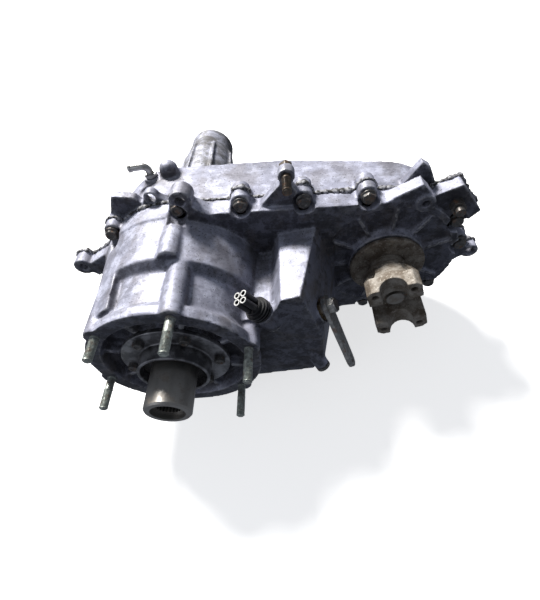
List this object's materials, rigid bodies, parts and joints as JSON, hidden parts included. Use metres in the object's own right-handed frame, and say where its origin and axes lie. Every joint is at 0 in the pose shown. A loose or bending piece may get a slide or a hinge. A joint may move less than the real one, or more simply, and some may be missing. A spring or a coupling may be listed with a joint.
{
  "type": "transfer case",
  "caption": "Chain-driven transfer case with studded adapter face, splined input tube, planetary low range, shift lever and front output yoke.",
  "frame": {"origin": "centre of the adapter face, on the main shaft's axis", "axes": "+X square across to the front output's axis, +Y along the main shaft to the rear, +Z square to both, on the side of the longer lugs"},
  "size_m": [0.5195, 0.5116, 0.2611],
  "materials": {
    "cast_aluminium": "as-cast, weathered",
    "machined_steel": "ground and splined",
    "gear_steel": "hardened, oiled",
    "bearing_steel": "polished",
    "chain_steel": "stamped links, oiled",
    "forged_steel": "forged, lightly rusted",
    "zinc_steel": "zinc plated",
    "lever_steel": "stamped plate",
    "cast_iron_fork": "cast",
    "black_plastic": "moulded",
    "seal_rubber": "moulded lip",
    "bushing_bronze": "sintered",
    "spring_steel": "drawn wire",
    "tube_steel": "plated tube"
  },
  "bodies": {
    "housing": {"front_case": "cast_aluminium", "rear_case": "cast_aluminium", "extension_housing": "cast_aluminium", "adapter_studs": "zinc_steel", "case_bolts": "zinc_steel", "extension_bolts": "zinc_steel", "ear_stud": "zinc_steel", "pad_bolt": "zinc_steel", "input_bearing_retainer": "cast_aluminium", "retainer_bolts": "zinc_steel", "input_seal": "seal_rubber", "input_bearing": "bearing_steel", "annulus_gear": "gear_steel", "front_output_bearing": "bearing_steel", "front_output_seal": "seal_rubber", "front_output_rear_bearing": "bearing_steel", "rear_output_bearing": "bearing_steel", "tail_bushing": "bushing_bronze", "rear_seal": "seal_rubber", "oil_pump_housing": "cast_aluminium", "oil_pickup": "black_plastic", "shift_rail": "machined_steel", "sector_bushing": "bushing_bronze", "detent_plug": "zinc_steel", "detent_spring": "spring_steel", "mode_spring": "spring_steel", "mode_switch": "black_plastic", "vent_tube": "tube_steel", "drain_plug": "zinc_steel", "fill_plug": "zinc_steel", "drive_chain": "chain_steel", "speed_sensor": "black_plastic"},
    "rear_output": {"main_shaft": "machined_steel", "mode_hub": "gear_steel", "oil_pump_rotor": "gear_steel", "speed_ring": "gear_steel"},
    "input": {"input_gear": "machined_steel"},
    "carrier": {"planet_carrier": "gear_steel"},
    "planet_1": {"planet_gear_1": "gear_steel"},
    "planet_2": {"planet_gear_2": "gear_steel"},
    "planet_3": {"planet_gear_3": "gear_steel"},
    "planet_4": {"planet_gear_4": "gear_steel"},
    "range_collar": {"range_hub": "gear_steel"},
    "mode_collar": {"mode_sleeve": "gear_steel"},
    "chain_drive": {"drive_sprocket": "gear_steel"},
    "front_output": {"front_output_shaft": "machined_steel", "driven_sprocket": "gear_steel", "front_output_yoke": "forged_steel", "dust_slinger": "forged_steel", "yoke_nut": "zinc_steel"},
    "selector": {"shift_sector": "machined_steel", "shift_lever": "lever_steel", "lever_nut": "zinc_steel"},
    "range_selector": {"range_fork": "cast_iron_fork"},
    "mode_selector": {"mode_fork": "cast_iron_fork"},
    "detent": {"detent_plunger": "zinc_steel"}
  },
  "joints": [
    {"name": "rear_output_spin", "type": "hinge", "parent": "housing", "child": "rear_output", "pos_m": [0, 0, 0], "axis": [0, 1, 0], "continuous": true},
    {"name": "input_spin", "type": "hinge", "parent": "housing", "child": "input", "pos_m": [0, 0, 0], "axis": [0, 1, 0], "continuous": true},
    {"name": "carrier_spin", "type": "hinge", "parent": "housing", "child": "carrier", "pos_m": [0, 0, 0], "axis": [0, 1, 0], "continuous": true},
    {"name": "front_output_spin", "type": "hinge", "parent": "housing", "child": "front_output", "pos_m": [0.254, 0, 0], "axis": [0, 1, 0], "continuous": true},
    {"name": "drive_sprocket_spin", "type": "hinge", "parent": "housing", "child": "chain_drive", "pos_m": [0, 0, 0], "axis": [0, 1, 0], "continuous": true},
    {"name": "planet_1_spin", "type": "hinge", "parent": "carrier", "child": "planet_1", "pos_m": [0.03847, 0.04, 0.03847], "axis": [0, 1, 0], "continuous": true},
    {"name": "planet_2_spin", "type": "hinge", "parent": "carrier", "child": "planet_2", "pos_m": [-0.03847, 0.04, 0.03847], "axis": [0, 1, 0], "continuous": true},
    {"name": "planet_3_spin", "type": "hinge", "parent": "carrier", "child": "planet_3", "pos_m": [-0.03847, 0.04, -0.03847], "axis": [0, 1, 0], "continuous": true},
    {"name": "planet_4_spin", "type": "hinge", "parent": "carrier", "child": "planet_4", "pos_m": [0.03847, 0.04, -0.03847], "axis": [0, 1, 0], "continuous": true},
    {"name": "shift_lever_turn", "type": "hinge", "parent": "housing", "child": "selector", "pos_m": [0.1325, 0.05, -0.007], "axis": [0.9063, 0, 0.4226], "range_deg": [0, 60]},
    {"name": "range_fork_slide", "type": "slide", "parent": "housing", "child": "range_selector", "axis": [0, 1, 0], "range_m": [0, 0.02]},
    {"name": "range_hub_slide", "type": "slide", "parent": "rear_output", "child": "range_collar", "axis": [0, 1, 0], "range_m": [0, 0.02]},
    {"name": "mode_fork_slide", "type": "slide", "parent": "housing", "child": "mode_selector", "axis": [0, 1, 0], "range_m": [0, 0.01]},
    {"name": "mode_sleeve_slide", "type": "slide", "parent": "rear_output", "child": "mode_collar", "axis": [0, 1, 0], "range_m": [0, 0.01]},
    {"name": "detent_plunger_slide", "type": "slide", "parent": "housing", "child": "detent", "axis": [0.3996, -0.3256, -0.8569], "range_m": [0, 0.002]}
  ],
  "couplings": [
    {"joint": "input_spin", "follows": "rear_output_spin", "ratio": 1},
    {"joint": "carrier_spin", "follows": "rear_output_spin", "ratio": 0.36765},
    {"joint": "drive_sprocket_spin", "follows": "front_output_spin", "ratio": 1},
    {"joint": "range_fork_slide", "follows": "shift_lever_turn", "m_per_rad": 0.019099},
    {"joint": "range_hub_slide", "follows": "shift_lever_turn", "m_per_rad": 0.019099},
    {"joint": "mode_sleeve_slide", "follows": "mode_fork_slide", "ratio": 1},
    {"joint": "planet_1_spin", "follows": "rear_output_spin", "ratio": -1.7565},
    {"joint": "planet_2_spin", "follows": "rear_output_spin", "ratio": -1.7565},
    {"joint": "planet_3_spin", "follows": "rear_output_spin", "ratio": -1.7565},
    {"joint": "planet_4_spin", "follows": "rear_output_spin", "ratio": -1.7565}
  ]
}
